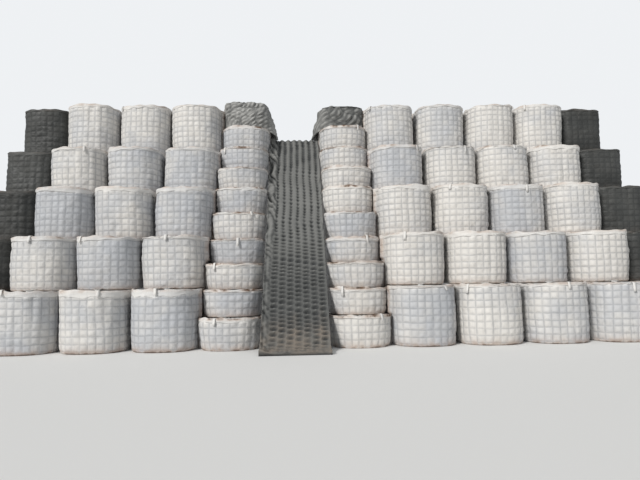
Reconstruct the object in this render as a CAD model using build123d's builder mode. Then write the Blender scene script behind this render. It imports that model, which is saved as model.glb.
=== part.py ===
# Retaining wall of large soil-filled bags, in five courses stepped back up a cut slope.
# Two wings of full bags stand either side of a chute that is lined with a quilted mat and
# bordered by columns of half-height bags. Darker bags close both outer ends.
#
# Millimetres. +X to the viewer's right along the wall, +Y into the slope, +Z up.
# The origin is on the ground, under the middle of the flat toe of the chute's lining.

import os
from math import cos, radians, sqrt, tan

from build123d import *

os.makedirs("parts", exist_ok=True)

# Courses, from the ground up: the height of each, and how far it steps back from the one below
course_1_height = 980
course_2_height = 910
course_3_height = 980
course_4_height = 920
course_5_height = 1090
course_2_setback = 580
course_3_setback = 740
course_4_setback = 600
course_5_setback = 660

# Full bags of the wings: the hem is the folded mouth, which stands out as a ring at the top
bag_pitch = 1120
bag_belly_diameter = 1070
bag_shoulder_diameter = 1046
bag_base_rounding = 75
left_bag_count = 3
right_bag_count = 4

# Bags that close the outer ends stand further back than the wings
end_bag_setback = 350

# Half-height bags that border the chute, in a lower and an upper one to a course
half_bag_hem_diameter = 1060
half_bag_shoulder_diameter = 1010
half_bag_base_diameter = 950
half_bag_base_rounding = 45
lower_half_1_height = 512
lower_half_2_height = 445
lower_half_3_height = 525
lower_half_4_height = 460
lower_half_5_height = 540

# How far the top of each pair of half bags stands above its course, or below it
pair_1_rise = -25
pair_2_rise = -35
pair_3_rise = 40
pair_4_rise = 70
crest_half_setback = 330

# Hem ring of every bag
hem_height = 55
hem_edge_radius = 22

# Chute and its lining
chute_width = 1080
lining_thickness = 60
lining_lip_height = 95
lining_lip_thickness = 35
lining_toe_length = 160
lining_bend_radius = 330
lining_foot_advance = 210
lining_slope = 49.5

# Quilted mats folded over the topmost half bags, with a flap that hangs into the chute
left_cover_fold_thickness = 185
right_cover_fold_thickness = 80
cover_thickness = 45
cover_corner_radius = 60
cover_slack = 8
cover_flap_length = 330
cover_flap_flare = 130
cover_flap_drop = 65

# Gap left between soft pieces that lean on each other
seat_clearance = 0.3


# Places worked out from the driving dimensions

course_heights = (
    course_1_height,
    course_2_height,
    course_3_height,
    course_4_height,
    course_5_height,
)
course_setbacks = (course_2_setback, course_3_setback, course_4_setback, course_5_setback)
lower_half_heights = (
    lower_half_1_height,
    lower_half_2_height,
    lower_half_3_height,
    lower_half_4_height,
    lower_half_5_height,
)
pair_rises = (0, pair_1_rise, pair_2_rise, pair_3_rise, pair_4_rise, 0)
*_, crest = range(len(course_heights))

hem_radius = (bag_pitch - seat_clearance) / 2
belly_radius = bag_belly_diameter / 2
half_hem_radius = half_bag_hem_diameter / 2
lining_bend_run = lining_bend_radius * tan(radians(lining_slope / 2))
lining_foot_y = lining_toe_length / 2 + lining_bend_run
wall_front_y = lining_foot_y + lining_foot_advance


def course_base(course):
    """Height of the underside of a course, counted from 0."""
    return sum(course_heights[:course])


def course_front(course):
    """Y of the front of a course, counted from 0."""
    return wall_front_y + sum(course_setbacks[:course])


def pair_base(course):
    """Height of the underside of a course's half bags, on top of the pair below."""
    return course_base(course) + pair_rises[course]


def upper_half_base(course):
    return pair_base(course) + lower_half_heights[course]


def upper_half_front(course):
    """Y of the front of an upper half bag, halfway back to the next course."""
    if course == crest:
        return course_front(course) + crest_half_setback
    return (course_front(course) + course_front(course + 1)) / 2


def beside(reach, offset):
    """Distance along the wall between two round bags that lean on each other."""
    return sqrt((reach + seat_clearance) ** 2 - offset**2)


column_x = chute_width / 2 + half_hem_radius
first_bag_x = column_x + beside(
    half_hem_radius + belly_radius, hem_radius - half_hem_radius
)
end_bag_step = beside(2 * hem_radius, end_bag_setback)


# Shapes that repeat


def full_bag(height):
    """A full bag on its base: bulging side, rounded foot and the folded hem round its top."""
    shoulder = bag_shoulder_diameter / 2
    with BuildPart() as bag:
        with BuildSketch(Plane.XZ):
            with BuildLine():
                base = Line((0, 0), (shoulder - bag_base_rounding, 0))
                foot = RadiusArc(base @ 1, (shoulder, bag_base_rounding), -bag_base_rounding)
                side = ThreePointArc(
                    foot @ 1,
                    (belly_radius, height / 2),
                    (shoulder, height - hem_height),
                )
                hem_outline(side @ 1, hem_radius, height)
            make_face()
        revolve(axis=Axis.Z)
    return bag.part


def half_bag(height):
    """A half-height bag: a shallow tub that widens from its base to its hem."""
    base_radius = half_bag_base_diameter / 2
    shoulder = half_bag_shoulder_diameter / 2
    with BuildPart() as bag:
        with BuildSketch(Plane.XZ):
            with BuildLine():
                base = Line((0, 0), (base_radius - half_bag_base_rounding, 0))
                foot = RadiusArc(
                    base @ 1, (base_radius, half_bag_base_rounding), -half_bag_base_rounding
                )
                side = Line(foot @ 1, (shoulder, height - hem_height))
                hem_outline(side @ 1, half_hem_radius, height)
            make_face()
        revolve(axis=Axis.Z)
    return bag.part


def hem_outline(start, radius, height):
    """The rest of a bag's half profile: out to the hem, round its top edge and to the axis."""
    ledge = Line(start, (radius, height - hem_height + hem_edge_radius))
    rise = Line(ledge @ 1, (radius, height - hem_edge_radius))
    edge = RadiusArc(rise @ 1, (radius - hem_edge_radius, height), -hem_edge_radius)
    top = Line(edge @ 1, (0, height))
    Line(top @ 1, (0, 0))


def write(part, name):
    part.label = name
    export_step(part, f"parts/{name}.step")


# Wings and the bags at their outer ends

for course, height in enumerate(course_heights):
    bag = full_bag(height)
    base = course_base(course)
    y = course_front(course) + hem_radius
    for side, sign, count in (("left", -1, left_bag_count), ("right", 1, right_bag_count)):
        last_x = first_bag_x + (count - 1) * bag_pitch
        with BuildPart() as wing_course:
            for number in range(count):
                with Locations((sign * (first_bag_x + number * bag_pitch), y, base)):
                    add(bag)
        write(wing_course.part, f"{side}_wing_course_{course + 1}")
        with BuildPart() as end_bag:
            with Locations((sign * (last_x + end_bag_step), y + end_bag_setback, base)):
                add(bag)
        write(end_bag.part, f"{side}_end_bag_{course + 1}")


# Columns of half bags either side of the chute

column_bags = []
for course, lower_height in enumerate(lower_half_heights):
    middle = upper_half_base(course)
    upper_height = pair_base(course + 1) - middle
    column_bags.append((lower_height, course_front(course), pair_base(course)))
    column_bags.append((upper_height, upper_half_front(course), middle))

for number, (height, front, base) in enumerate(column_bags, start=1):
    bag = half_bag(height)
    for side, sign in (("left", -1), ("right", 1)):
        with BuildPart() as column_bag:
            with Locations((sign * column_x, front + half_hem_radius, base)):
                add(bag)
        write(column_bag.part, f"{side}_half_bag_{number}")


# Lining of the chute: a mat with its edges turned up, laid up the slope from a flat toe. It
# ends under the flaps of the mats at the crest.

cover_base_z = upper_half_base(crest)
lip_rise = lining_lip_height * cos(radians(lining_slope))
lining_top_z = cover_base_z - cover_flap_drop - lip_rise - seat_clearance
lining_top_y = lining_foot_y + lining_top_z / tan(radians(lining_slope))
lining_half_width = chute_width / 2 - seat_clearance

with BuildPart() as lining:
    with BuildLine(Plane.YZ) as lining_path:
        FilletPolyline(
            (-lining_toe_length / 2, 0),
            (lining_foot_y, 0),
            (lining_top_y, lining_top_z),
            radius=lining_bend_radius,
        )
    start = lining_path.line @ 0
    with BuildSketch(Plane(origin=start, x_dir=(1, 0, 0), z_dir=(0, 1, 0))) as section:
        with Locations((0, -lining_thickness / 2)):
            Rectangle(2 * lining_half_width, lining_thickness)
        with Locations(
            (-lining_half_width + lining_lip_thickness / 2, -lining_lip_height / 2),
            (lining_half_width - lining_lip_thickness / 2, -lining_lip_height / 2),
        ):
            Rectangle(lining_lip_thickness, lining_lip_height)
    sweep(path=lining_path.line)
write(lining.part, "chute_lining")


# Mats folded over the topmost half bags


def crest_cover(fold_thickness):
    """The mat over the topmost half bag on the right: fold, skirt and chute-side flap."""
    wing_reach = hem_radius + cover_slack
    cover_y = upper_half_front(crest) + half_hem_radius
    wing_y = course_front(crest) + hem_radius
    seat_height = pair_base(crest + 1) - cover_base_z
    inner = max(half_hem_radius, half_bag_shoulder_diameter / 2) + cover_slack
    outer = inner + cover_thickness
    top = seat_height + fold_thickness
    fold_z = top - cover_thickness / 2
    with BuildPart() as cover:
        with BuildSketch(Plane.XZ):
            with BuildLine():
                crown = Line((0, top), (outer - cover_corner_radius, top))
                corner = RadiusArc(
                    crown @ 1, (outer, top - cover_corner_radius), cover_corner_radius
                )
                Polyline(corner @ 1, (outer, 0), (0, 0), (0, top))
            make_face()
        revolve(axis=Axis.Z)
        with BuildSketch(Plane.XZ.offset(-cover_flap_length / 2)):
            with BuildLine():
                Polyline(
                    (-outer / 2, fold_z),
                    (-outer + cover_thickness / 2, fold_z - fold_thickness),
                    (-outer - cover_flap_flare, -cover_flap_drop - cover_thickness),
                )
            trace(line_width=cover_thickness)
        extrude(amount=cover_flap_length)
        with BuildSketch():
            Circle(inner)
        extrude(amount=seat_height, mode=Mode.SUBTRACT)
        with BuildSketch():
            with Locations((first_bag_x - column_x, wing_y - cover_y)):
                Circle(wing_reach)
        extrude(amount=top, mode=Mode.SUBTRACT)
        split(bisect_by=Plane.XY.offset(-cover_flap_drop), keep=Keep.TOP)
    with BuildPart() as placed:
        with Locations((column_x, cover_y, cover_base_z)):
            add(cover.part)
    return placed.part


write(crest_cover(right_cover_fold_thickness), "right_crest_cover")
write(mirror(crest_cover(left_cover_fold_thickness), about=Plane.YZ), "left_crest_cover")
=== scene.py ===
# Looks of the sandbag retaining wall: filled bags, the quilted lining of its chute, and the
# quilted mats over its crest. Metres, +X along the wall, +Y into the slope, +Z up.

import itertools
from typing import NamedTuple

import bpy
import numpy as np
from mathutils import Matrix, Vector


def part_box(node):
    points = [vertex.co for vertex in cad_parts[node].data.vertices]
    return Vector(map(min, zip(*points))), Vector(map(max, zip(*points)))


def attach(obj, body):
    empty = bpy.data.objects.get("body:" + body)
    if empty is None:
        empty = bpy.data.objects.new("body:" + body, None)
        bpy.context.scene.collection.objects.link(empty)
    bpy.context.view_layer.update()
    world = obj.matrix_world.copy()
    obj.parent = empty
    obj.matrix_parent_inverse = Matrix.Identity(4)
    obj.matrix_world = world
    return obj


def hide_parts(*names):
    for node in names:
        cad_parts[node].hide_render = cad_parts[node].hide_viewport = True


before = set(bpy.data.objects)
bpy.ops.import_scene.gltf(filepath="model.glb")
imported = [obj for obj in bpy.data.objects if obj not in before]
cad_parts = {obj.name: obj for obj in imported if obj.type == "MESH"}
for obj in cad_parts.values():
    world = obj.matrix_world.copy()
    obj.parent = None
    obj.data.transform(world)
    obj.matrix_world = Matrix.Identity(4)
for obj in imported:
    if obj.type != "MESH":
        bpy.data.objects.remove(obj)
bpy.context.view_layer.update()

COURSES = 5
SIDES = (("left", -1), ("right", 1))
FULL_TURN = 2 * np.pi
FRONT = -np.pi / 2

# Grid of darker tapes woven into the bags: its cells round a bag and at most up it, and the
# height of one. A bag is meshed in a whole number of steps to a cell.
GRID_CELLS = 28
CELL_ROWS = 12
GRID_RISE = 0.113
STEPS_A_CELL = 3
ROUND = GRID_CELLS * STEPS_A_CELL


class Form(NamedTuple):
    """Sizes of a kind of bag, round its base, its side and the hem at its top."""

    base: float  # radius at the base
    swell: float  # how far the side bows out between base and hem
    waist: float  # radius just under the hem
    hem: float  # how far the hem stands out from the waist
    foot: float  # rounding at the base
    band: float  # height of the hem
    rows: int  # mesh rows up the side
    crowd: float  # how far it spreads behind the front, against its neighbours
    grime: float  # how much soil has gathered on its rim
    square: float  # 2 for a round bag, more for one that is pressed square
    shelf: float  # where its top starts to lie open, as the sine of the angle
    strapped: float  # share of these bags with the end of a strap over the rim


FULL_BAG = Form(
    base=0.522, swell=0.012, waist=0.531, hem=0.010, foot=0.045, band=0.066, rows=30,
    crowd=0.072, grime=0.50, square=2.60, shelf=0.0, strapped=0.6,
)
DARK_BAG = Form(
    base=0.524, swell=0.004, waist=0.531, hem=0.006, foot=0.040, band=0.048, rows=30,
    crowd=0.060, grime=0.15, square=3.20, shelf=0.0, strapped=0.0,
)
HALF_BAG = Form(
    base=0.474, swell=0.012, waist=0.512, hem=0.011, foot=0.026, band=0.044, rows=16,
    crowd=0.092, grime=1.00, square=2.45, shelf=0.36, strapped=0.5,
)


def smooth(low, high, value):
    """0 below low, 1 above high, and a soft change between them."""
    share = np.clip((value - low) / (high - low), 0, 1)
    return share * share * (3 - 2 * share)


def bell(value, width):
    """1 where value is 0, falling off evenly to both sides."""
    return np.exp(-((value / width) ** 2))


def ripple(rng, turn, rounds, rise=0, rises=(0, 0), terms=6):
    """Smooth noise of about -1 to 1 on a closed round: whole waves in turn, any in rise."""
    total = 0
    for _ in range(terms):
        count = rng.integers(rounds[0], rounds[1] + 1)
        climb = rng.uniform(rises[0], rises[1]) * rng.choice((-1, 1))
        total = total + np.sin(count * turn + climb * rise + rng.uniform(0, FULL_TURN))
    return total / np.sqrt(terms)


def waves(rng, value, lengths, terms=6):
    """Smooth noise of about -1 to 1 along a line, made of waves of these lengths."""
    total = 0
    for _ in range(terms):
        total = total + np.sin(
            FULL_TURN * value / rng.uniform(*lengths) + rng.uniform(0, FULL_TURN)
        )
    return total / np.sqrt(terms)


def squared_round(turn, power):
    """Radius of a round of 1 in each direction, pressed square where power is over 2."""
    total = np.abs(np.cos(turn)) ** power + np.abs(np.sin(turn)) ** power
    return total ** (-1 / power)


def lengths_along(radius, level, start):
    """Length of cloth up to each row of a profile, with the first row's given."""
    run = np.cumsum(np.hypot(np.diff(radius, axis=0), np.diff(level, axis=0)), 0)
    return np.vstack([start, run + start])


def placed(name, data):
    """A new object for a mesh, light or camera, in the scene."""
    made = bpy.data.objects.new(name, data)
    bpy.context.scene.collection.objects.link(made)
    return made


class Cloth:
    """Points, faces, cloth coordinates and stains, gathered until they become one mesh."""

    def __init__(self):
        self.points, self.faces, self.places = [], [], []
        self.marks = {"soil": [], "shade": [], "plain": []}
        self.count = 0

    def rings(self, points, across, along, **marks):
        """Adds closed rows of points, joined by quads, with a flat face at either end.

        across is the cloth's width at each step and one past the last, along its length.
        marks are values from 0 to 1 that the materials read: soil, shade and plain.
        """
        rows, steps = points.shape[:2]
        row, step = np.meshgrid(np.arange(rows - 1), np.arange(steps), indexing="ij")
        onward = (step + 1) % steps
        corners = ((row, step), (row, onward), (row + 1, onward), (row + 1, step))
        quads = np.stack([r * steps + s for r, s in corners], -1).reshape(-1, 4)
        wide = np.stack([across[step], across[step + 1], across[step + 1], across[step]], -1)
        far = np.stack([along[r, s] for r, s in corners], -1)
        first = self.count + np.arange(steps)
        last = first + (rows - 1) * steps
        self.faces += (quads + self.count).tolist() + [first[::-1].tolist(), last.tolist()]
        self.places.append(np.stack([wide, far], -1).reshape(-1, 2))
        self.places.append(points[0, ::-1, :2])
        self.places.append(points[-1, :, :2])
        self.points.append(points.reshape(-1, 3))
        for key, values in self.marks.items():
            values.append(np.broadcast_to(marks.get(key, 0.0), (rows, steps)).ravel())
        self.count += rows * steps

    def piece(self, name, node, material):
        """Makes the mesh, parents it to the root body and hides the CAD part of the node it
        stands for.
        """
        mesh = bpy.data.meshes.new(name)
        mesh.from_pydata(np.concatenate(self.points), [], self.faces)
        layer = mesh.uv_layers.new(name="cloth")
        layer.uv.foreach_set("vector", np.concatenate(self.places).astype(np.float32).ravel())
        for key, values in self.marks.items():
            attribute = mesh.attributes.new(key, "FLOAT", "POINT")
            attribute.data.foreach_set("value", np.concatenate(values).astype(np.float32))
        mesh.materials.append(material)
        mesh.shade_smooth()
        made = placed(name, mesh)
        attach(made, "root")
        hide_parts(node)


# Materials


class Graph:
    """A material's nodes, with short calls for the ones that repeat."""

    def __init__(self, name):
        self.material = bpy.data.materials.new(name)
        self.material.use_nodes = True
        self.tree = self.material.node_tree
        self.shader = self.tree.nodes["Principled BSDF"]
        self.place = self.node("TexCoord").outputs["Object"]

    def feed(self, socket, value):
        if isinstance(value, bpy.types.NodeSocket):
            self.tree.links.new(value, socket)
        else:
            socket.default_value = value

    def node(self, kind, *values, **settings):
        made = self.tree.nodes.new("ShaderNode" + kind)
        for key, value in settings.items():
            setattr(made, key, value)
        for socket, value in zip(made.inputs, values):
            self.feed(socket, value)
        return made

    def math(self, operation, *values):
        return self.node("Math", *values, operation=operation).outputs[0]

    def span(self, value, low, high, start=0.0, end=1.0):
        """value from low to high becomes start to end, with a soft change."""
        made = self.node("MapRange", value, low, high, start, end)
        made.interpolation_type = "SMOOTHSTEP"
        return made.outputs[0]

    def mix(self, share, first, second):
        """Colour between two. The node's colours come after its numbers and vectors."""
        made = self.node("Mix", data_type="RGBA")
        self.feed(made.inputs[0], share)
        self.feed(made.inputs[6], first)
        self.feed(made.inputs[7], second)
        return made.outputs[2]

    def noise(self, scale, detail, stretch=(1.0, 1.0, 1.0)):
        moved = self.node("Mapping", self.place)
        moved.inputs["Scale"].default_value = stretch
        made = self.node("TexNoise")
        self.feed(made.inputs["Vector"], moved.outputs[0])
        made.inputs["Scale"].default_value = scale
        made.inputs["Detail"].default_value = detail
        return made.outputs["Fac"]

    def value(self, name):
        return self.node("Attribute", attribute_name=name).outputs["Fac"]

    def bump(self, height, distance, strength, normal=None):
        made = self.node("Bump")
        made.inputs["Strength"].default_value = strength
        made.inputs["Distance"].default_value = distance
        self.feed(made.inputs["Height"], height)
        if normal is not None:
            self.feed(made.inputs["Normal"], normal)
        return made.outputs[0]

    def finish(self, color, roughness, normal):
        self.feed(self.shader.inputs["Base Color"], color)
        self.feed(self.shader.inputs["Roughness"], roughness)
        self.feed(self.shader.inputs["Normal"], normal)
        self.shader.inputs["Specular IOR Level"].default_value = CLOTH_SPECULAR
        return self.material


# Colours of soil, dust, hems and felt, and the painted shade in the felt's pits
EARTH = (0.150, 0.088, 0.052, 1)
CLAY = (0.400, 0.270, 0.190, 1)
SILT = (0.250, 0.200, 0.155, 1)
DUST = (0.420, 0.385, 0.335, 1)
HEM = (0.780, 0.765, 0.740, 1)
PIT_SHADE_FELT = (0.026, 0.029, 0.031, 1)
GREY_FELT = (0.118, 0.121, 0.117, 1)
PALE_FELT = (0.430, 0.430, 0.415, 1)

# Width of the tapes that the bags are woven of, and how little all the cloth shines
TAPE_PITCH = 0.0032
CLOTH_SPECULAR = 0.3


def bag_fabric(name, cloth, other, line, line_strength, hem_share, soiling, dust):
    """Woven flat-tape fabric with a grid of tapes, dust, rain streaks and soil, and painted shade
    and light.

    A bag's own shade lies between cloth and other, and other is a darker, cooler copy of cloth
    that paints shade. line is the colour of its grid, which is faint on its hem. The last four
    are shares: how strong the grid is, how far the hem turns to its own colour, and how much
    soil and dust there is.
    """
    graph = Graph(name)
    parts = graph.node("SeparateXYZ", graph.node("UVMap", uv_map="cloth").outputs[0])
    across, along = parts.outputs[0], parts.outputs[1]
    drawn = [
        graph.math("ADD", part, graph.span(graph.noise(scale, 2.0), 0.3, 0.7, -0.05, 0.05))
        for part, scale in ((across, 3.1), (along, 4.3))
    ]
    to_line = [graph.math("PINGPONG", part, 0.5) for part in drawn]
    faded = [
        graph.span(graph.noise(scale, 2.0), 0.34, 0.60, least, 1.0)
        for scale, least in ((2.3, 0.25), (1.7, 0.45))
    ]
    lines = [
        graph.math("MULTIPLY", graph.span(d, 0.015, 0.145, 1.0, 0.0), share)
        for d, share in zip(to_line, faded)
    ]
    # Painted shade: the cloth darkens into the valleys beside the grid's tapes, which the bump
    # also sinks
    shaded_valleys = [graph.span(d, 0.0, 0.36, 1.0, 0.0) for d in to_line]
    gridded = graph.math("SUBTRACT", 1.0, graph.value("plain"))
    grid = graph.math("MULTIPLY", graph.math("MAXIMUM", *lines), gridded)
    shaded_valley = graph.math("MULTIPLY", graph.math("MAXIMUM", *shaded_valleys), gridded)
    in_cell = graph.node("CombineXYZ", *(graph.math("FLOOR", part) for part in drawn))
    cell_tone = graph.node("TexWhiteNoise", in_cell.outputs[0]).outputs["Value"]

    # Painted shade: the bag's tone, in broad patches and cell by cell, mixes its cloth towards
    # the darker copy
    clouded = graph.span(graph.noise(1.4, 3.0), 0.32, 0.68, -0.35, 0.35)
    shade = graph.math("ADD", graph.value("shade"), clouded)
    shade = graph.math("ADD", shade, graph.span(cell_tone, 0.0, 1.0, -0.12, 0.12))
    shade = graph.math("MINIMUM", graph.math("MAXIMUM", shade, 0.0), 1.0)
    color = graph.mix(shade, cloth, other)
    mottle = graph.span(graph.noise(3.2, 4.0), 0.35, 0.70)
    color = graph.mix(graph.math("MULTIPLY", mottle, dust), color, DUST)
    streaks = graph.span(graph.noise(5.0, 4.0, (6.0, 6.0, 0.55)), 0.52, 0.74)
    color = graph.mix(graph.math("MULTIPLY", streaks, 0.16), color, line)
    color = graph.mix(graph.math("MULTIPLY", graph.value("plain"), hem_share), color, HEM)
    # Painted shade in the valleys beside the tapes
    color = graph.mix(graph.math("MULTIPLY", shaded_valley, 0.15), color, line)
    color = graph.mix(graph.math("MULTIPLY", grid, line_strength), color, line)
    specks = graph.span(graph.noise(42.0, 2.0), 0.66, 0.74)
    color = graph.mix(graph.math("MULTIPLY", specks, 2 * dust), color, DUST)
    patchy = graph.span(graph.noise(9.0, 4.0), 0.30, 0.62)
    soil = graph.math("MULTIPLY", graph.value("soil"), graph.math("ADD", patchy, 0.25))
    settled = graph.mix(graph.span(soil, 0.45, 1.0), CLAY, EARTH)
    color = graph.mix(graph.math("MULTIPLY", soil, soiling), color, settled)

    metres = [graph.math("MULTIPLY", part, GRID_RISE) for part in (across, along)]
    weave = [
        graph.math("SINE", graph.math("MULTIPLY", part, FULL_TURN / TAPE_PITCH))
        for part in metres
    ]
    crease = graph.noise(13.0, 5.0, (1.0, 1.0, 0.6))
    normal = graph.bump(graph.math("MULTIPLY", *weave), 0.0004, 0.5)
    normal = graph.bump(graph.math("SUBTRACT", 1.0, shaded_valley), 0.009, 0.6, normal)
    normal = graph.bump(crease, 0.012, 0.7, normal)
    normal = graph.bump(graph.noise(7.0, 4.0, (0.5, 0.5, 2.2)), 0.014, 0.6, normal)
    normal = graph.bump(graph.noise(45.0, 3.0), 0.003, 0.5, normal)
    rough = graph.span(mottle, 0.0, 1.0, 0.52, 0.68)
    return graph.finish(color, rough, normal)


def mat_fabric(name):
    """Grey quilted felt: fibrous, with painted shade in its pits, pale on its raised parts as
    wear and painted highlight, silt at its foot.
    """
    graph = Graph(name)
    worn = graph.noise(2.6, 4.0)
    shade = graph.span(graph.value("shade"), 0.0, 0.85)
    # Painted shade: the felt darkens into its pits and folds where the shade mark is low
    color = graph.mix(shade, PIT_SHADE_FELT, GREY_FELT)
    # Paler on raised parts: partly wear, partly painted highlight
    rubbed_and_lit = graph.math("MULTIPLY", graph.value("plain"), graph.span(worn, 0.25, 0.70, 0.55, 1.0))
    color = graph.mix(rubbed_and_lit, color, PALE_FELT)
    stained = graph.span(graph.noise(5.5, 4.0), 0.30, 0.66, 0.25, 1.0)
    soil = graph.math("MULTIPLY", graph.value("soil"), stained)
    color = graph.mix(soil, color, SILT)
    fibre = graph.noise(140.0, 4.0, (1.0, 2.5, 2.5))
    color = graph.mix(graph.span(fibre, 0.50, 0.80, 0.0, 0.20), color, PALE_FELT)
    normal = graph.bump(graph.noise(38.0, 4.0), 0.006, 0.6)
    normal = graph.bump(fibre, 0.002, 0.5, normal)
    return graph.finish(color, graph.span(worn, 0.3, 0.7, 0.80, 0.95), normal)


white_fabric = bag_fabric(
    "white woven fabric",
    cloth=(0.700, 0.682, 0.652, 1),
    other=(0.490, 0.505, 0.530, 1),
    line=(0.195, 0.208, 0.230, 1),
    line_strength=0.39,
    hem_share=0.66,
    soiling=0.85,
    dust=0.13,
)
dark_fabric = bag_fabric(
    "dark woven fabric",
    cloth=(0.072, 0.075, 0.073, 1),
    other=(0.034, 0.036, 0.035, 1),
    line=(0.024, 0.026, 0.027, 1),
    line_strength=0.42,
    hem_share=0.02,
    soiling=0.35,
    dust=0.03,
)
quilted_fabric = mat_fabric("grey quilted felt")


# Bags

FIRST_SEED = 100

# How far a bag may lean, for each metre of its height
LEAN = 0.028

# Where a bag starts to spread against the ones beside it, as the sine of the angle behind its
# side, the same on a flank that leans on another bag, the change to its full spread, and where
# that ends at its back
SPREAD_START = 0.22
HUG_START = -0.25
SPREAD_RAMP = 0.27
SPREAD_END = (0.60, 0.95)

# Reach of a bag towards the ones beside it, as a share of the way or in metres: along its row,
# and between a wing and the lower and upper half bag of the column beside it
ROW_SHARE = 0.4995
WING_TO_LOWER_REACH = 0.5345
WING_TO_UPPER_SHARE = 0.512
LOWER_TO_WING_REACH = 0.5295
UPPER_TO_WING_SHARE = 0.485
CHUTE_HALF_WIDTH = 0.5405

# How far over a course's middle its lower half bag may end, and the height over which both
# half bags bound the wing
PAIR_RISE = 0.03
PAIR_OVERLAP = 0.1

# How far a half bag's rim laps over the underside of the wing's next course
RIM_LAP = 0.004

# Height of the tied neck on a bag: of the top course, of a lower one, and on a half bag
TOP_NECK = 0.075
COURSE_NECK = 0.030
HALF_NECK = 0.020

# Rows of a bag's mesh under its base, as shares of its flat radius, and round its foot
FLAT_SHARES = (0.30, 0.65, 0.90)
FOOT_ROWS = 5
SIDE_START = len(FLAT_SHARES) + FOOT_ROWS - 1

# The hem's uneven lower edge, in shares of its height, and how far it hangs down at most where
# bags meet. Then the uneven rim over it and the puckers between them, in metres.
HEM_TILT = 0.28
HEM_WAVE = 0.13
FLAP_DROP = 0.022
RIM_TILT = 0.015
RIM_WAVE = 0.012
PUCKER = 0.0055

# Rounding of the rim: how far in and down from the hem's outer edge each row lies
RIM_ROWS = ((0.002, 0.014), (0.007, 0.004), (0.019, 0.0), (0.036, 0.006))

# The gathered top: how far inside the waist it starts, how near the middle it ends, its rows,
# and how far it lies below the rim
GATHER_INSET = 0.065
GATHER_END = 0.075
GATHER_ROWS = 9
GATHER_SINK = 0.016

# The tied neck: its radius at shares of its height
NECK_ROWS = ((0.050, 0.0), (0.034, 0.35), (0.034, 0.5), (0.055, 0.85), (0.060, 1.0))

# Waves in a bag's skin: their height, how many run round it and up it, how many are summed,
# and where they are. Those at the hem or the foot fade within the two lengths under the table.
SKIN_WAVES = (
    (0.0050, (2, 5), (2, 9), 6, "all over"),
    (0.0060, (9, 20), (0, 4), 6, "under the hem"),
    (0.0040, (7, 15), (6, 22), 6, "over the foot"),
    (0.0022, (10, 24), (12, 34), 8, "all over"),
    (0.0030, (1, 6), (32, 58), 5, "all over"),
    (0.0042, (12, 28), (0, 5), 6, "all over"),
)
UNDER_HEM = 0.16
OVER_FOOT = 0.14
PILLOW_HEIGHT = 0.010

# Tone of a bag, from 0 for the first of its two colours to 1 for the second, a darker copy
# of the first that paints shade: on the top course, lighter there as painted light, on the
# others, by how much the left wing is over that as painted shade and the right one under it
# as painted light, and how far single bags differ at random
TOP_COURSE_PAINTED_LIGHT = 0.25
MIDDLE_TONE = 0.5
WING_PAINTED_SHADE = 0.2
TONE_SPREAD = 0.42

# The end of a strap over the rim: added to its bag's seed, how far round from the front it may
# be, and its size
STRAP_SEED = 7000
STRAP_TURN = 0.9
STRAP_HALF_WIDTH = 0.023
STRAP_THICKNESS = 0.004

# The least that a skin faces its neighbour when its room there is worked out
LEAST_FACING = 0.05


def reach_of(turn, level, limits, shift=0.0, way=0.0):
    """How far a bag's skin may stand out in each direction before it meets a neighbour.

    shift is how far a leaning bag has moved over at each level, and way is where to.
    """
    reach = np.full(np.broadcast(turn, level).shape, np.inf)
    for angle, distance, low, high in limits:
        facing = np.maximum(np.cos(turn - angle), LEAST_FACING)
        here = (level >= low) & (level <= high)
        left = distance - shift * np.cos(way - angle)
        reach = np.where(here, np.minimum(reach, left / facing), reach)
    return reach


def toward(here, there, low=-1.0, high=9.0, share=0.0, reach=0.0):
    """A limit on reach towards another bag, between two levels.

    It is a share of the way between the middles, plus a reach in metres.
    """
    apart = np.array(there[:2]) - np.array(here[:2])
    return (np.arctan2(apart[1], apart[0]), np.hypot(*apart) * share + reach, low, high)


def strap_end(cloth, rng, place, angle, reach, rim):
    """The end of a lifting strap, laid over the rim of a bag and down its front.

    reach and rim are how far out and up the bag's rim is, at that angle.
    """
    drop, stand = rng.uniform(0.05, 0.14), rng.uniform(0.008, 0.022)
    lean = rng.uniform(-0.03, 0.03)
    # Out and up from the rim, along the strap's middle
    path = np.array(
        [
            (-0.080, -0.030),
            (-0.045, 0.003),
            (-0.014, 0.006),
            (0.004, -0.001),
            (0.010, -0.018),
            (0.010 + 0.5 * stand, -0.018 - 0.5 * drop),
            (0.010 + stand, -0.018 - drop),
        ]
    )
    ahead = np.gradient(path, axis=0)
    ahead = ahead / np.hypot(*ahead.T)[:, None]
    share = np.linspace(0, 1, len(path))[:, None]
    side, face = np.array([(1, 1), (0, 1), (-1, 1), (-1, -1), (0, -1), (1, -1)]).T
    across = side * STRAP_HALF_WIDTH + lean * share
    off = face * STRAP_THICKNESS / 2
    out = reach + path[:, :1] - ahead[:, 1:] * off
    up = rim + path[:, 1:] + ahead[:, :1] * off
    points = np.stack(
        [
            place[0] + out * np.cos(angle) - across * np.sin(angle),
            place[1] + out * np.sin(angle) + across * np.cos(angle),
            place[2] + up,
        ],
        -1,
    )
    wide = np.arange(len(side) + 1) * STRAP_HALF_WIDTH
    along = np.broadcast_to(share, up.shape)
    cloth.rings(points, wide, along, soil=0.15 * (1 - share), shade=0.5, plain=1.0)


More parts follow.
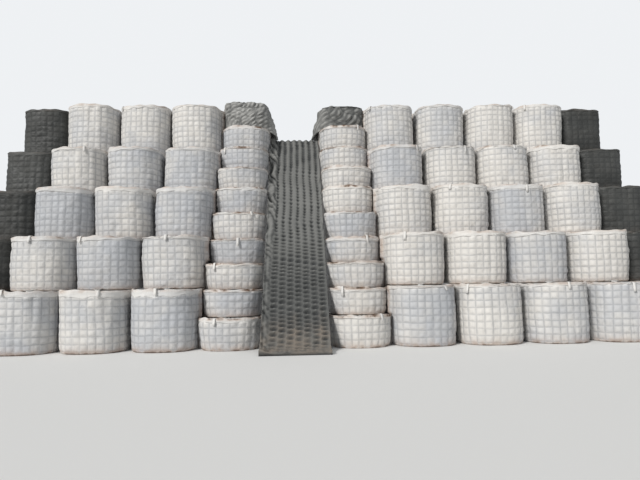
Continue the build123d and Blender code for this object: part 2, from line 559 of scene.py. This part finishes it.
def tied_top(rng, row, form, turn, height, neck):
    """Adds the rows of a bag's gathered top and of the neck that it is tied into."""
    pleats = rng.integers(13, 18)
    for radius in np.linspace(form.waist - GATHER_INSET, GATHER_END, GATHER_ROWS):
        gather = 1 - radius / form.waist
        pleat = np.cos(pleats * turn + 2.0 * gather) * gather
        dent = ripple(rng, turn, (1, 6), terms=3)
        level = height - GATHER_SINK + 0.009 * pleat + 0.003 * dent
        row(radius, level, widened=1 - gather)
    for radius, share in NECK_ROWS:
        ruffle = 1 + 0.22 * np.cos(pleats * turn) * share
        row(radius * ruffle, height - 0.008 + neck * share, widened=0)
    row(0.022, height - 0.012 + neck, widened=0)


def skin_relief(rng, turn, side, below_hem, along):
    """How far a bag's skin stands out: its wrinkles, and a pillow in each cell of its grid.

    side is the height over the foot, below_hem the depth under the hem, and along counts the
    grid's cells up the side.
    """
    cell = np.abs(np.sin(np.pi * along) * np.sin(np.pi * np.arange(ROUND) / STEPS_A_CELL))
    filled = rng.uniform(0.15, 1.0, (CELL_ROWS, GRID_CELLS)) * rng.uniform(0.5, 1.0)
    up = np.clip(np.floor(along), -1, CELL_ROWS - 2).astype(int) + 1
    filled = filled[up, np.arange(ROUND)[None, :] // STEPS_A_CELL]
    share = {
        "all over": 1.0,
        "under the hem": np.exp(-below_hem / UNDER_HEM),
        "over the foot": np.exp(-side / OVER_FOOT),
    }
    relief = 0.0
    for height, rounds, rises, terms, where in SKIN_WAVES:
        relief = relief + height * ripple(rng, turn, rounds, side, rises, terms) * share[where]
    return relief + PILLOW_HEIGHT * filled * np.sqrt(cell) - PILLOW_HEIGHT / 2


def soil_on(rng, form, turn, height, radius, level, pressed, on_ground):
    """Soil on a bag, from 0 to 1: at its foot, on its rim, where bags touch, and behind.
    Where bags touch it is partly painted shade, darkening the slits between them.
    """
    behind = np.sin(turn)
    wet = 0.85 if on_ground else 0.45
    soil = wet * np.exp(-np.maximum(level - 0.01, 0) / 0.05) * smooth(0.0, 0.6, -behind)
    on_rim = smooth(height - 0.050, height - 0.012, level) * smooth(0.2, 0.5, radius)
    on_rim = on_rim * form.grime * (0.70 + 0.45 * ripple(rng, turn, (2, 8)))
    # Where bags press together: soil, partly painted shade in the slits between them
    for part in (on_rim, 0.50 * smooth(0.0, 0.5, pressed), 0.30 * smooth(0.4, 0.9, behind)):
        soil = np.maximum(soil, part)
    return np.clip(soil, 0, 1)


def bag(
    cloth, form, place, height, seed, limits, neck, crowned=False, hug=0, lift=0.0, leaning=LEAN
):
    """One filled bag, from the middle of its base to the tied neck on its top.

    limits are the ways to its neighbours, and neck is how far the tied neck stands up. A
    crowned bag carries nothing, so all its rim may rise. hug is the way along X to a column of
    bags, or a wing, that this one leans on. lift is how far its rim rises there behind the
    front, to close the gap under the bag of the wing. leaning is how far it may lean, for each
    metre of its height.
    """
    rng = np.random.default_rng(seed)
    turn = rng.uniform(0, FULL_TURN) + np.arange(ROUND) * FULL_TURN / ROUND
    behind, hugged = np.sin(turn), np.cos(turn) * hug
    front = smooth(form.shelf, form.shelf + 0.5, -behind)
    free = np.ones(ROUND) if crowned else front
    start = np.where(hugged > 0, HUG_START, SPREAD_START)
    pressed = smooth(start, start + SPREAD_RAMP, behind) * (1 - smooth(*SPREAD_END, behind))
    crowd = form.crowd * pressed
    flaps = sum(
        rng.uniform(0.0, 1.0) * np.exp(-(1 - np.cos(turn - angle)) / rng.uniform(0.02, 0.05))
        for angle, *_ in limits
    )
    band = form.band * rng.uniform(0.7, 1.3)
    droop = HEM_TILT * np.cos(turn - rng.uniform(0, FULL_TURN))
    droop = droop + HEM_WAVE * ripple(rng, turn, (2, 14), terms=8)
    hem_line = height - band * (1 + droop) - FLAP_DROP * flaps
    loose = 0.5 + 0.5 * ripple(rng, turn, (2, 7))
    out = form.hem * rng.uniform(0.4, 1.3) * (0.35 + 0.65 * np.clip(loose, 0, 1.4))
    tilt = RIM_TILT * np.cos(turn - rng.uniform(0, FULL_TURN))
    rim = height + free * (RIM_WAVE * ripple(rng, turn, (2, 14), terms=9) + tilt)
    rim = rim + lift * smooth(0.1, 0.5, hugged) * smooth(-0.1, 0.2, behind)
    fullness = rng.uniform(0.6, 1.3)
    lean, way = rng.uniform(0.2, 1.0) * leaning, rng.uniform(0, FULL_TURN)

    radii, levels, folds = [], [], []

    def row(radius, level, fold=0.0, widened=1.0):
        """Adds a row of points, with the share of the wrinkles and of the spread it takes."""
        radii.append(radius + crowd * widened)
        levels.append(level + 0 * turn)
        folds.append(fold)

    flat = form.base - form.foot
    for share in FLAT_SHARES:
        row(flat * share, 0.0, widened=share * 0.6)
    for angle in np.linspace(0, np.pi / 2, FOOT_ROWS):
        out_at_foot = np.sin(angle) + (1 - np.sin(angle)) * pressed
        row(flat + form.foot * out_at_foot, form.foot * (1 - np.cos(angle)))
    for share in np.linspace(0, 1, form.rows + 1)[1:]:
        bow = form.swell * fullness * np.sin(np.pi * share**0.8)
        radius = form.base + share * (form.waist - form.base) + bow
        row(radius, form.foot + share * (hem_line - form.foot), 1.0)
    # The side tucks in under the hem, whose lower edge hangs over it
    edge = form.waist + out
    row(form.waist - 0.003, hem_line + 0.005, 0.6)
    row(form.waist + 0.6 * out, hem_line - 0.005, 0.6)
    row(edge - 0.002, hem_line + 0.003, 0.4)
    for share in (0.25, 0.50, 0.75):
        pucker = PUCKER * ripple(rng, turn, (5, 20))
        row(edge + pucker, hem_line + share * (rim - hem_line))
    for inward, down in RIM_ROWS:
        row(edge - inward, rim - down)
    row(form.waist - 0.040, height - 0.018)
    tied_top(rng, row, form, turn, height, neck)

    radius, level = np.array(radii) * squared_round(turn, form.square), np.array(levels)
    along = lengths_along(radius, level, np.zeros((1, ROUND)))
    along = (along - along[SIDE_START]) / GRID_RISE
    below_hem = np.maximum(hem_line - level, 0)
    relief = skin_relief(rng, turn, level - form.foot, below_hem, along)
    radius = radius + relief * np.array(folds)[:, None]
    shift = lean * level
    radius = np.minimum(radius, reach_of(turn, level, limits, shift, way))
    points = np.stack(
        [
            place[0] + radius * np.cos(turn) + shift * np.cos(way),
            place[1] + radius * np.sin(turn) + shift * np.sin(way),
            place[2] + level,
        ],
        -1,
    )
    across = np.arange(ROUND + 1) / STEPS_A_CELL
    soil = soil_on(rng, form, turn, height, radius, level, pressed, place[2] < 0.1)
    # Painted light on the top course, painted shade on the left wing and painted light on the
    # right one
    painted_light_and_shade = TOP_COURSE_PAINTED_LIGHT if crowned else MIDDLE_TONE - WING_PAINTED_SHADE * np.sign(place[0])
    shade = np.clip(painted_light_and_shade + rng.uniform(-TONE_SPREAD, TONE_SPREAD), 0, 1)
    plain = 0.85 * smooth(hem_line - 0.014, hem_line - 0.004, level)
    cloth.rings(points, across, along, soil=soil, shade=shade, plain=plain)

    strap = np.random.default_rng(seed + STRAP_SEED)
    if strap.uniform() < form.strapped:
        angle = FRONT + strap.uniform(-STRAP_TURN, STRAP_TURN)
        at = np.argmax(np.cos(turn - angle))
        reach = np.where(level > hem_line - 0.02, radius, 0).max(0)[at]
        over = lean * rim[at]
        top = (place[0] + over * np.cos(way), place[1] + over * np.sin(way), place[2])
        strap_end(cloth, strap, top, angle, reach, rim[at])


def centres(node):
    """Middle of each round bag's base in a node that holds one or a row of them."""
    low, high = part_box(node)
    radius = (high.y - low.y) / 2
    count = round((high.x - low.x) / (2 * radius))
    pitch = (high.x - low.x - 2 * radius) / max(count - 1, 1)
    return [(low.x + radius + i * pitch, (low.y + high.y) / 2, low.z) for i in range(count)]


def wing_of(side, course):
    """Middles of a wing's bags in one course, outwards from the chute."""
    return sorted(centres(f"{side}_wing_course_{course}"), key=lambda centre: abs(centre[0]))


def build_course(side, sign, course, seeds):
    """One side's bags in a course: the wing, the dark one at its end and the two half bags."""
    wing_node = f"{side}_wing_course_{course}"
    end_node = f"{side}_end_bag_{course}"
    half_nodes = [f"{side}_half_bag_{2 * course - 1}", f"{side}_half_bag_{2 * course}"]
    wing = wing_of(side, course)
    (end,) = centres(end_node)
    lower, upper = halves = [centres(node)[0] for node in half_nodes]
    low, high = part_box(wing_node)
    height, wing_top = high.z - low.z, high.z
    top = course == COURSES
    neck = TOP_NECK if top else COURSE_NECK

    cloth = Cloth()
    row = wing + [end]
    for number, place in enumerate(wing):
        limits = [toward(place, row[number + 1], share=ROW_SHARE)]
        if number:
            limits.append(toward(place, row[number - 1], share=ROW_SHARE))
        else:
            middle = height / 2 + PAIR_RISE
            limits.append(toward(place, lower, high=middle, reach=WING_TO_LOWER_REACH))
            limits.append(
                toward(place, upper, low=middle - PAIR_OVERLAP, share=WING_TO_UPPER_SHARE)
            )
        hug = 0 if number else -sign
        bag(cloth, FULL_BAG, place, height, next(seeds), limits, neck, top, hug)
    cloth.piece(f"{wing_node}_filled", wing_node, white_fabric)

    cloth = Cloth()
    limits = [toward(end, wing[-1], share=ROW_SHARE)]
    bag(cloth, DARK_BAG, end, height, next(seeds), limits, neck, top)
    cloth.piece(f"{end_node}_filled", end_node, dark_fabric)

    for layer, (node, place) in enumerate(zip(half_nodes, halves)):
        cloth = Cloth()
        low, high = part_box(node)
        chute = toward(place, (0.0, place[1]), reach=abs(place[0]) - CHUTE_HALF_WIDTH)
        beside, lift, leaning = toward(place, wing[0], reach=LOWER_TO_WING_REACH), 0.0, LEAN
        if layer:
            beside = toward(place, wing[0], share=UPPER_TO_WING_SHARE)
            lift = max(wing_top + RIM_LAP - high.z, 0.0)
            leaning = 0.0 if top else LEAN
        bag(
            cloth, HALF_BAG, place, high.z - low.z, next(seeds), [chute, beside], HALF_NECK,
            hug=sign, lift=lift, leaning=leaning,
        )
        cloth.piece(f"{node}_filled", node, white_fabric)


def build_bags():
    """Every bag, course by course, kept clear of the ones that stand beside it."""
    seeds = itertools.count(FIRST_SEED)
    for course in range(1, COURSES + 1):
        for side, sign in SIDES:
            build_course(side, sign, course, seeds)


# Chute lining

# Its line, as the CAD has it: the toe on the ground, the bend and the slope
TOE_LENGTH = 0.16
BEND_RADIUS = 0.33
SLOPE = np.radians(49.5)
LIP_HEIGHT = 0.095

# Its skin over the line of its underside: the ridges, the pits and the thinnest it may be. Then
# how far the underside stays over that line, and the sides inside the CAD's.
RIDGE_HEIGHT = 0.058
PIT_DEPTH = 0.044
THINNEST = 0.012
UNDERSIDE = 0.001
SIDE_GAP = 0.001

# Its quilting: stitched columns across it and pits down each. The pattern grows finer between
# two heights, and its pits run together into ribs between the next two.
COLUMN_PITCH = 0.1345
FIRST_COLUMN_X = -0.344
PIT_PITCH = 0.097
FINER_FROM, FINER_TO = 1.2, 2.4
RIBBED_FROM, RIBBED_TO = 3.30, 3.75

# Folds in its turned-up edges: how far apart they are down each
FOLD_PITCH = 0.37
NIP_PITCH = 0.43

LINING_SEED = 7
MAT_ROW_STEP = 0.012
MAT_STEPS = 122
BOTTOM_STEPS = 9


def slope_line(run):
    """Y and Z of the lining's underside and its lean, at distances along it from the toe."""
    flat = run - TOE_LENGTH
    bend = np.clip(flat / BEND_RADIUS, 0, SLOPE)
    straight = np.maximum(flat - BEND_RADIUS * SLOPE, 0)
    y = -TOE_LENGTH / 2 + np.minimum(run, TOE_LENGTH)
    y = y + BEND_RADIUS * np.sin(bend) + straight * np.cos(SLOPE)
    z = BEND_RADIUS * (1 - np.cos(bend)) + straight * np.sin(SLOPE)
    return y, z, bend


def quilt(column, beat, width, bed, bump):
    """Relief of quilted felt: 1 in its pits, 0 between its columns and below 0 on its bumps.

    column counts across the stitched columns, and beat counts along them.
    """
    number = np.floor(column + 0.5)
    pulse = 0.5 + 0.5 * np.cos(FULL_TURN * (beat + number / 3))
    groove = bell(column - number, width * (0.80 + 0.34 * pulse))
    middle = bell(column - number, 0.21)
    return groove * (bed + (1 - bed) * pulse**1.15) - bump * middle * (1 - pulse) ** 3


def creases(rng, across, along, lengths, terms=3):
    """Crumpled cloth: 0 in its sharp creases, which cross each other, and up to 1 between."""
    between = 1.0
    for _ in range(terms):
        lay, length = rng.uniform(0, np.pi), rng.uniform(*lengths)
        over = across * np.cos(lay) + along * np.sin(lay)
        down = along * np.cos(lay) - across * np.sin(lay)
        bend = 0.20 * np.sin(FULL_TURN * down / (2.3 * length) + rng.uniform(0, FULL_TURN))
        wave = np.abs(np.sin(np.pi * (over / length + bend + rng.uniform(0, 1))))
        between = np.minimum(between, wave * rng.uniform(1.0, 1.5))
    return between


def lining_quilt(rng, x, run, upper, ribbed, foot):
    """The lining's pits, wide and bumpy below, finer above, and run together into ribs."""
    column = (x - FIRST_COLUMN_X) / COLUMN_PITCH + 0.05 * waves(rng, run, (0.7, 1.8))
    width = 0.38 - 0.19 * upper + 0.09 * ribbed
    bed = 0.44 + 0.10 * upper + 0.34 * ribbed + 0.08 * waves(rng, run, (0.3, 0.9))
    beat = run / PIT_PITCH + 0.24 * waves(rng, run + 0.3 * x, (0.5, 1.3))
    relief = quilt(column, beat, width, bed, 0.62 * (1 - 0.8 * upper))
    return relief * (1 + 0.14 * waves(rng, run - 0.7 * x, (0.25, 0.8)) - 0.25 * foot)


def lining_edges(rng, x, run, upper):
    """The lining's ruffled left edge and its plainer right one.

    Gives where the left one is, its folds, where the right one is, its nips, and how far the
    skin rises at both.
    """
    left = smooth(0.385 - 0.055 * upper, 0.480 - 0.050 * upper, -x)
    right = smooth(0.475, 0.530, x)
    fold = run / FOLD_PITCH + 5.5 * x + 0.55 * waves(rng, run, (0.6, 1.6))
    fold = bell(fold - np.round(fold), 0.21) * (0.60 + 0.40 * upper)
    fold = np.clip(fold * (0.85 + 0.25 * waves(rng, run, (0.4, 1.2))), 0, 1)
    nip = run / NIP_PITCH - 7.0 * x + 0.5 * waves(rng, run, (0.7, 1.9))
    nip = bell(nip - np.round(nip), 0.13) * (0.2 + 0.6 * upper)
    curl = waves(rng, run - 0.9 * x, (0.10, 0.22), 5)
    rise = left * ((0.056 + 0.022 * upper) * (1 - fold) - 0.026 + 0.008 * curl)
    rise = rise + smooth(0.49, 0.538, -x) * (0.036 * (1 - 0.7 * fold) + 0.012 * curl)
    rise = rise + right * (0.018 * (1 - nip) - 0.008)
    return left, fold, right, nip, rise


def build_lining():
    """The quilted mat down the chute: columns of pits between ridges, its edges turned up."""
    node = "chute_lining"
    _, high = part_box(node)
    rng = np.random.default_rng(LINING_SEED)
    half = high.x - SIDE_GAP
    top_z = high.z - LIP_HEIGHT * np.cos(SLOPE)
    bend_z = BEND_RADIUS * (1 - np.cos(SLOPE))
    length = TOE_LENGTH + BEND_RADIUS * SLOPE + (top_z - bend_z) / np.sin(SLOPE)
    run = np.linspace(length, 0, int(length / MAT_ROW_STEP))[:, None]
    y, z, tip = slope_line(run)
    x = np.linspace(half, -half, MAT_STEPS)[None, :]

    upper = smooth(FINER_FROM, FINER_TO, z)
    foot = 1 - smooth(0.05, 0.35, z)
    relief = lining_quilt(rng, x, run, upper, smooth(RIBBED_FROM, RIBBED_TO, z), foot)
    left, fold, right, nip, rise = lining_edges(rng, x, run, upper)
    relief = relief * (1 - 0.95 * left) * (1 - 0.6 * right)
    sway = 0.004 * waves(rng, run + 0.5 * x, (0.5, 1.1))
    thickness = np.maximum(RIDGE_HEIGHT - PIT_DEPTH * relief + rise + sway, THINNEST)

    def over_line(across, height):
        """Points at that height over the line of the underside."""
        back, up = height * np.sin(tip), height * np.cos(tip)
        return np.stack(np.broadcast_arrays(across, y - back, z + up), -1)

    bottom_x = np.linspace(-half, half, BOTTOM_STEPS)[None, :]
    points = np.concatenate([over_line(bottom_x, UNDERSIDE), over_line(x, thickness)], 1)
    across = np.concatenate([bottom_x[0], x[0], bottom_x[0, :1]])
    along = np.broadcast_to(run, points.shape[:2])
    # Painted shade: darker in the pits and in the hollows of the edges' folds and nips
    crest = np.clip(1 - relief, 0, 1) * (1 - 0.9 * left * fold) * (1 - 0.8 * right * nip)
    # Paler on the bumps, on the ridges higher up and along the ruffled edge: partly wear, partly
    # painted highlight
    rubbed_and_lit = 0.05 + 0.17 * upper * crest + 1.0 * np.clip(-relief, 0, 1) + 0.15 * left * crest
    washed = (1 - smooth(0.05, 0.60, z + 0.10 * waves(rng, x, (0.2, 0.6)))) * 0.60 * crest
    # Painted shade: the lower stretch of the lining is darker
    lower_stretch_shade = 1 - smooth(0.9, 1.9, z)
    crest = crest * (1 - 0.42 * lower_stretch_shade * (1 - foot))

    def on_top(marks):
        under = np.zeros((len(run), BOTTOM_STEPS))
        return np.concatenate([under, np.broadcast_to(marks, crest.shape)], 1)

    cloth = Cloth()
    cloth.rings(
        points,
        across,
        along,
        soil=on_top(washed),
        shade=on_top(crest),
        plain=on_top(np.clip(rubbed_and_lit, 0, 1)),
    )
    cloth.piece("chute_lining_quilted", node, quilted_fabric)


# Crest covers

# Mesh steps round a cover, and its rows on the top, round the corner and down the skirt
COVER_ROUND = 288
COVER_TOP_ROWS = 44
COVER_CORNER_ROWS = 7
COVER_SKIRT_ROWS = 50

# Its form, squared as a bag's is, and how far its top and hem stay inside the CAD's
COVER_RADIUS = 0.560
COVER_CORNER = 0.055
COVER_SHOULDER = COVER_RADIUS - COVER_CORNER
COVER_THICKNESS = 0.040
COVER_SQUARE = 2.9
COVER_EDGE = 0.004

# The side towards the chute: how far its shoulder draws in, how far it sinks as a share of
# that, how far the flap flares out, and how far it hangs below the rest of the skirt
COVER_TUCK = 0.06
TUCK_SINK = 0.3
FLAP_FLARE = 0.135
FLAP_DROP_BELOW = 0.060

# Radius left free for the half bag inside and for the wing's bag beside, the gap between the
# cover's two skins there, and how far its top stays over the half bag. Each row that is
# pressed flat there lies a little lower than the one before, so that no two meet.
ROOM_INSIDE = 0.540
ROOM_BESIDE = 0.5665
SKIN_GAP = 0.006
OVER_BAG = 0.048
OVER_BAG_STEP = 0.0004

# The underside: shares of its radius and of its height, inwards from the hem
COVER_INSIDE = ((1.0, 0.5), (0.985, 0.9), (0.7, 1.0), (0.3, 1.0), (0.06, 1.0))
INSIDE_DEPTH = 0.078

# Quilting in slanting rows of strokes, at the angle with this sine: the length of a stroke in
# widths, how far each row is shifted against the one before, and how deep it is
DIAGONAL = 0.707
STROKE_LENGTH = 2.1
STROKE_SHIFT = 0.38
QUILT_DEPTH = 0.024


def cover_rows(rng, turn, flap, top, base):
    """Radius and level of each row, from a cover's middle out and down to its hem.

    The last is 0 for rows that face up and 1 for those that face outwards.
    """
    rows = []
    tuck = COVER_TUCK * flap
    for share in np.linspace(0.06, 1, COVER_TOP_ROWS):
        rows.append(((COVER_SHOULDER - tuck) * share, top - TUCK_SINK * tuck * share**2, 0.0))
    for angle in np.linspace(0, np.pi / 2, COVER_CORNER_ROWS + 1)[1:]:
        radius = COVER_SHOULDER - tuck + COVER_CORNER * np.sin(angle)
        level = top - TUCK_SINK * tuck - COVER_CORNER * (1 - np.cos(angle))
        rows.append((radius, level, np.sin(angle)))
    drop = top - COVER_CORNER - base - COVER_EDGE + 0.006 * ripple(rng, turn, (2, 7))
    drop = drop + FLAP_DROP_BELOW * flap**2
    for share in np.linspace(0, 1, COVER_SKIRT_ROWS)[1:]:
        flare = FLAP_FLARE * flap * share**1.15
        flare = flare - tuck * (1 - smooth(0.0, 0.45, share))
        radius = COVER_SHOULDER + COVER_CORNER + 0.010 * np.sin(np.pi * share) + flare
        level = top - TUCK_SINK * tuck * (1 - share) - COVER_CORNER - share * drop
        rows.append((radius, level, 1.0))
    radii, levels, outward = zip(*rows)
    return np.concatenate(radii), np.concatenate(levels), np.array(outward)[:, None]


def laid_flat(turn, run):
    """Place of each point on a cover's mat before it was folded.

    The last is 1, but falls to 0 at the back, where the two ends of the skirt meet.
    """
    hangs = smooth(COVER_SHOULDER, COVER_SHOULDER + COVER_CORNER, run)
    aside = (turn - FRONT + np.pi) % FULL_TURN - np.pi
    x = (1 - hangs) * run * np.cos(turn) + hangs * COVER_SHOULDER * aside
    y = (1 - hangs) * run * np.sin(turn) - hangs * run
    from_back = smooth(0.0, 0.7, np.pi - np.abs(aside))
    return x, y, from_back * hangs + (1 - hangs)


def strokes(rng, x, y, pitch):
    """Quilting in slanting rows of short strokes, from 0 between them to 1 on them."""
    leading = (x - y) * DIAGONAL / pitch
    leading = leading + 0.30 * waves(rng, y + 0.5 * x, (0.3, 0.9))
    crossing = (x + y) * DIAGONAL / (STROKE_LENGTH * pitch) + np.floor(leading) * STROKE_SHIFT
    crossing = crossing + 0.25 * waves(rng, x - 0.5 * y, (0.3, 0.9))
    broken = 0.16 + 0.84 * (0.5 + 0.5 * np.cos(FULL_TURN * crossing))
    return np.sin(np.pi * leading) ** 2 * broken


def build_cover(side, sign, seed, crumpled, rubbed_and_lit, pitch):
    """The quilted mat folded over a topmost half bag, with a flap that flares to the chute.

    crumpled is how deep its folds are, the next argument how pale its raised parts are, as
    wear and painted highlight, and pitch the distance between its rows of strokes.
    """
    node, half_node = f"{side}_crest_cover", f"{side}_half_bag_{2 * COURSES}"
    rng = np.random.default_rng(seed)
    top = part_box(node)[1].z - COVER_EDGE
    place, wing = centres(half_node)[0], wing_of(side, COURSES)[0]
    half_low, half_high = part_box(half_node)
    turn = (np.arange(COVER_ROUND) * FULL_TURN / COVER_ROUND)[None, :]
    squared = squared_round(turn, COVER_SQUARE)
    chute = np.pi if sign > 0 else 0.0
    flap = np.maximum(np.cos(turn - chute), 0) ** 3
    radius, level, outward = cover_rows(rng, turn, flap, top, half_low.z)
    radius = radius * squared
    run = lengths_along(radius, level, radius[:1])

    flat_x, flat_y, unseamed = laid_flat(turn, run)
    stroke = strokes(rng, flat_x, flat_y, pitch)
    panel = smooth(0.35, 0.85, np.cos(turn - chute)) * (1 - smooth(0.75, 1.0, flap) * 0.3)
    creased = creases(rng, flat_x, flat_y, (0.19, 0.42))
    folds = (creased - 0.45) * crumpled * unseamed * (1 - 0.70 * panel)
    folds = folds + 0.010 * ripple(rng, turn, (3, 8), level, (1, 5)) * outward
    lumps = 0.010 * ripple(rng, turn, (2, 5), run, (3, 9)) - 0.012
    sunk = QUILT_DEPTH * (1 - stroke) * (1 - 0.5 * panel) - folds * (0.5 + 0.5 * outward) - lumps
    radius = radius - sunk * outward
    level = level - sunk * (1 - outward)
    over_bag = half_high.z + OVER_BAG - OVER_BAG_STEP * np.arange(len(outward))[:, None]
    level = np.where(outward < 0.9, np.maximum(level, over_bag), level)
    radius = np.where(level <= over_bag, np.maximum(radius, ROOM_INSIDE * squared), radius)
    limits = [toward(place, wing, share=1.0, reach=-ROOM_BESIDE)]
    radius = np.minimum(radius, reach_of(turn, level, limits))

    hem = level[-1:] + 0.008
    inside = np.minimum(ROOM_INSIDE * squared, reach_of(turn, hem, limits) - SKIN_GAP)
    inner_radius = [radius[-1:] - COVER_THICKNESS] + [inside * share for share, _ in COVER_INSIDE]
    inner_level = [hem] + [hem + up * (top - INSIDE_DEPTH - hem) for _, up in COVER_INSIDE]
    radius = np.concatenate([radius, *inner_radius])
    level = np.concatenate([level, *inner_level])
    x, y = place[0] + radius * np.cos(turn), place[1] + radius * np.sin(turn)
    points = np.stack([x, y, level], -1)[::-1]
    across = np.arange(COVER_ROUND + 1) * FULL_TURN * 0.5 / COVER_ROUND
    # Painted shade: darker between the rows of strokes and in the creases
    shaded_valley = (1 - smooth(0.0, 0.40, creased)) * unseamed * (1 - 0.8 * panel)
    crest = (0.20 + 0.80 * stroke) * (1 - 0.60 * shaded_valley)
    # Paler on the raised strokes, partly wear and partly painted highlight, and on the panel
    # towards the chute
    bumps = rubbed_and_lit * (0.50 + 0.90 * stroke) * (1 - 0.5 * shaded_valley) + 0.16 * panel
    bumps = bumps * (1 + 0.25 * ripple(rng, turn, (2, 6), run, (3, 9)))

    def over(marks):
        inner = np.full((len(points) - len(marks), COVER_ROUND), 0.3)
        return np.concatenate([marks, inner])[::-1]

    cloth = Cloth()
    cloth.rings(
        points, across, level[::-1], shade=over(crest), plain=over(np.clip(bumps, 0, 1))
    )
    cloth.piece(f"{node}_quilted", node, quilted_fabric)


build_bags()
build_lining()
build_cover("left", -1, seed=31, crumpled=0.040, rubbed_and_lit=1.15, pitch=0.074)
build_cover("right", 1, seed=32, crumpled=0.064, rubbed_and_lit=0.42, pitch=0.104)


# Stage, lights and camera

FLOOR_REACH = 60.0
FLOOR_COLOR = (0.80, 0.80, 0.79, 1)
FLOOR_ROUGHNESS = 0.9
BACKDROP_COLOR = (0.86, 0.88, 0.90, 1)
SKY_COLOR = (0.94, 0.97, 1.0, 1)
SKY_STRENGTH = 0.42
KEY_COLOR = (1.0, 0.975, 0.94)
KEY_STRENGTH = 2.65
KEY_ANGLE = np.radians(14)
KEY_TURN = np.radians(-40)
KEY_HEIGHT = np.radians(30)

CAMERA_PLACE = (0.07, -7.468, 1.09)
CAMERA_LENS = 28.125
CAMERA_SENSOR = 36.0
CAMERA_PITCH = np.radians(4.57)
CAMERA_YAW = np.radians(2.42)
CAMERA_ROLL = np.radians(0.95)
FARTHEST_SEEN = 300.0


def build_floor():
    """A wide pale floor under the wall."""
    mesh = bpy.data.meshes.new("floor")
    reach = FLOOR_REACH
    corners = [(-reach, -reach, 0), (reach, -reach, 0), (reach, reach, 0), (-reach, reach, 0)]
    mesh.from_pydata(corners, [], [(0, 1, 2, 3)])
    graph = Graph("plain floor")
    graph.shader.inputs["Base Color"].default_value = FLOOR_COLOR
    graph.shader.inputs["Roughness"].default_value = FLOOR_ROUGHNESS
    mesh.materials.append(graph.material)
    placed("floor", mesh)


def build_lights():
    """A soft sun from the front left and an even sky, which the camera sees as pale."""
    light = bpy.data.lights.new("key", "SUN")
    light.energy = KEY_STRENGTH
    light.angle = KEY_ANGLE
    light.color = KEY_COLOR
    flat = np.cos(KEY_HEIGHT)
    source = Vector((np.sin(KEY_TURN) * flat, -np.cos(KEY_TURN) * flat, np.sin(KEY_HEIGHT)))
    placed("key", light).rotation_euler = source.to_track_quat("Z", "Y").to_euler()

    world = bpy.data.worlds.new("sky")
    world.use_nodes = True
    bpy.context.scene.world = world
    tree = world.node_tree
    sky = tree.nodes["Background"]
    sky.inputs["Color"].default_value = SKY_COLOR
    sky.inputs["Strength"].default_value = SKY_STRENGTH
    seen = tree.nodes.new("ShaderNodeBackground")
    seen.inputs["Color"].default_value = BACKDROP_COLOR
    seen.inputs["Strength"].default_value = 1.0
    path = tree.nodes.new("ShaderNodeLightPath")
    mixed = tree.nodes.new("ShaderNodeMixShader")
    tree.links.new(path.outputs["Is Camera Ray"], mixed.inputs[0])
    tree.links.new(sky.outputs[0], mixed.inputs[1])
    tree.links.new(seen.outputs[0], mixed.inputs[2])
    tree.links.new(mixed.outputs[0], tree.nodes["World Output"].inputs["Surface"])


def build_camera():
    """The photograph's camera, turned by its yaw and pitch and rolled about its line of sight."""
    data = bpy.data.cameras.new("camera")
    data.lens = CAMERA_LENS
    data.sensor_width = CAMERA_SENSOR
    data.clip_end = FARTHEST_SEEN
    camera = placed("camera", data)
    flat = np.cos(CAMERA_PITCH)
    ahead = Vector(
        (np.sin(CAMERA_YAW) * flat, np.cos(CAMERA_YAW) * flat, np.sin(CAMERA_PITCH))
    )
    level = ahead.cross(Vector((0, 0, 1))).normalized()
    up = level.cross(ahead)
    right = level * np.cos(CAMERA_ROLL) - up * np.sin(CAMERA_ROLL)
    tilted = up * np.cos(CAMERA_ROLL) + level * np.sin(CAMERA_ROLL)
    turned = Matrix((right, tilted, -ahead)).transposed().to_4x4()
    camera.matrix_world = Matrix.Translation(CAMERA_PLACE) @ turned
    bpy.context.scene.camera = camera


build_floor()
build_lights()
build_camera()
bpy.context.scene.view_settings.view_transform = "Standard"
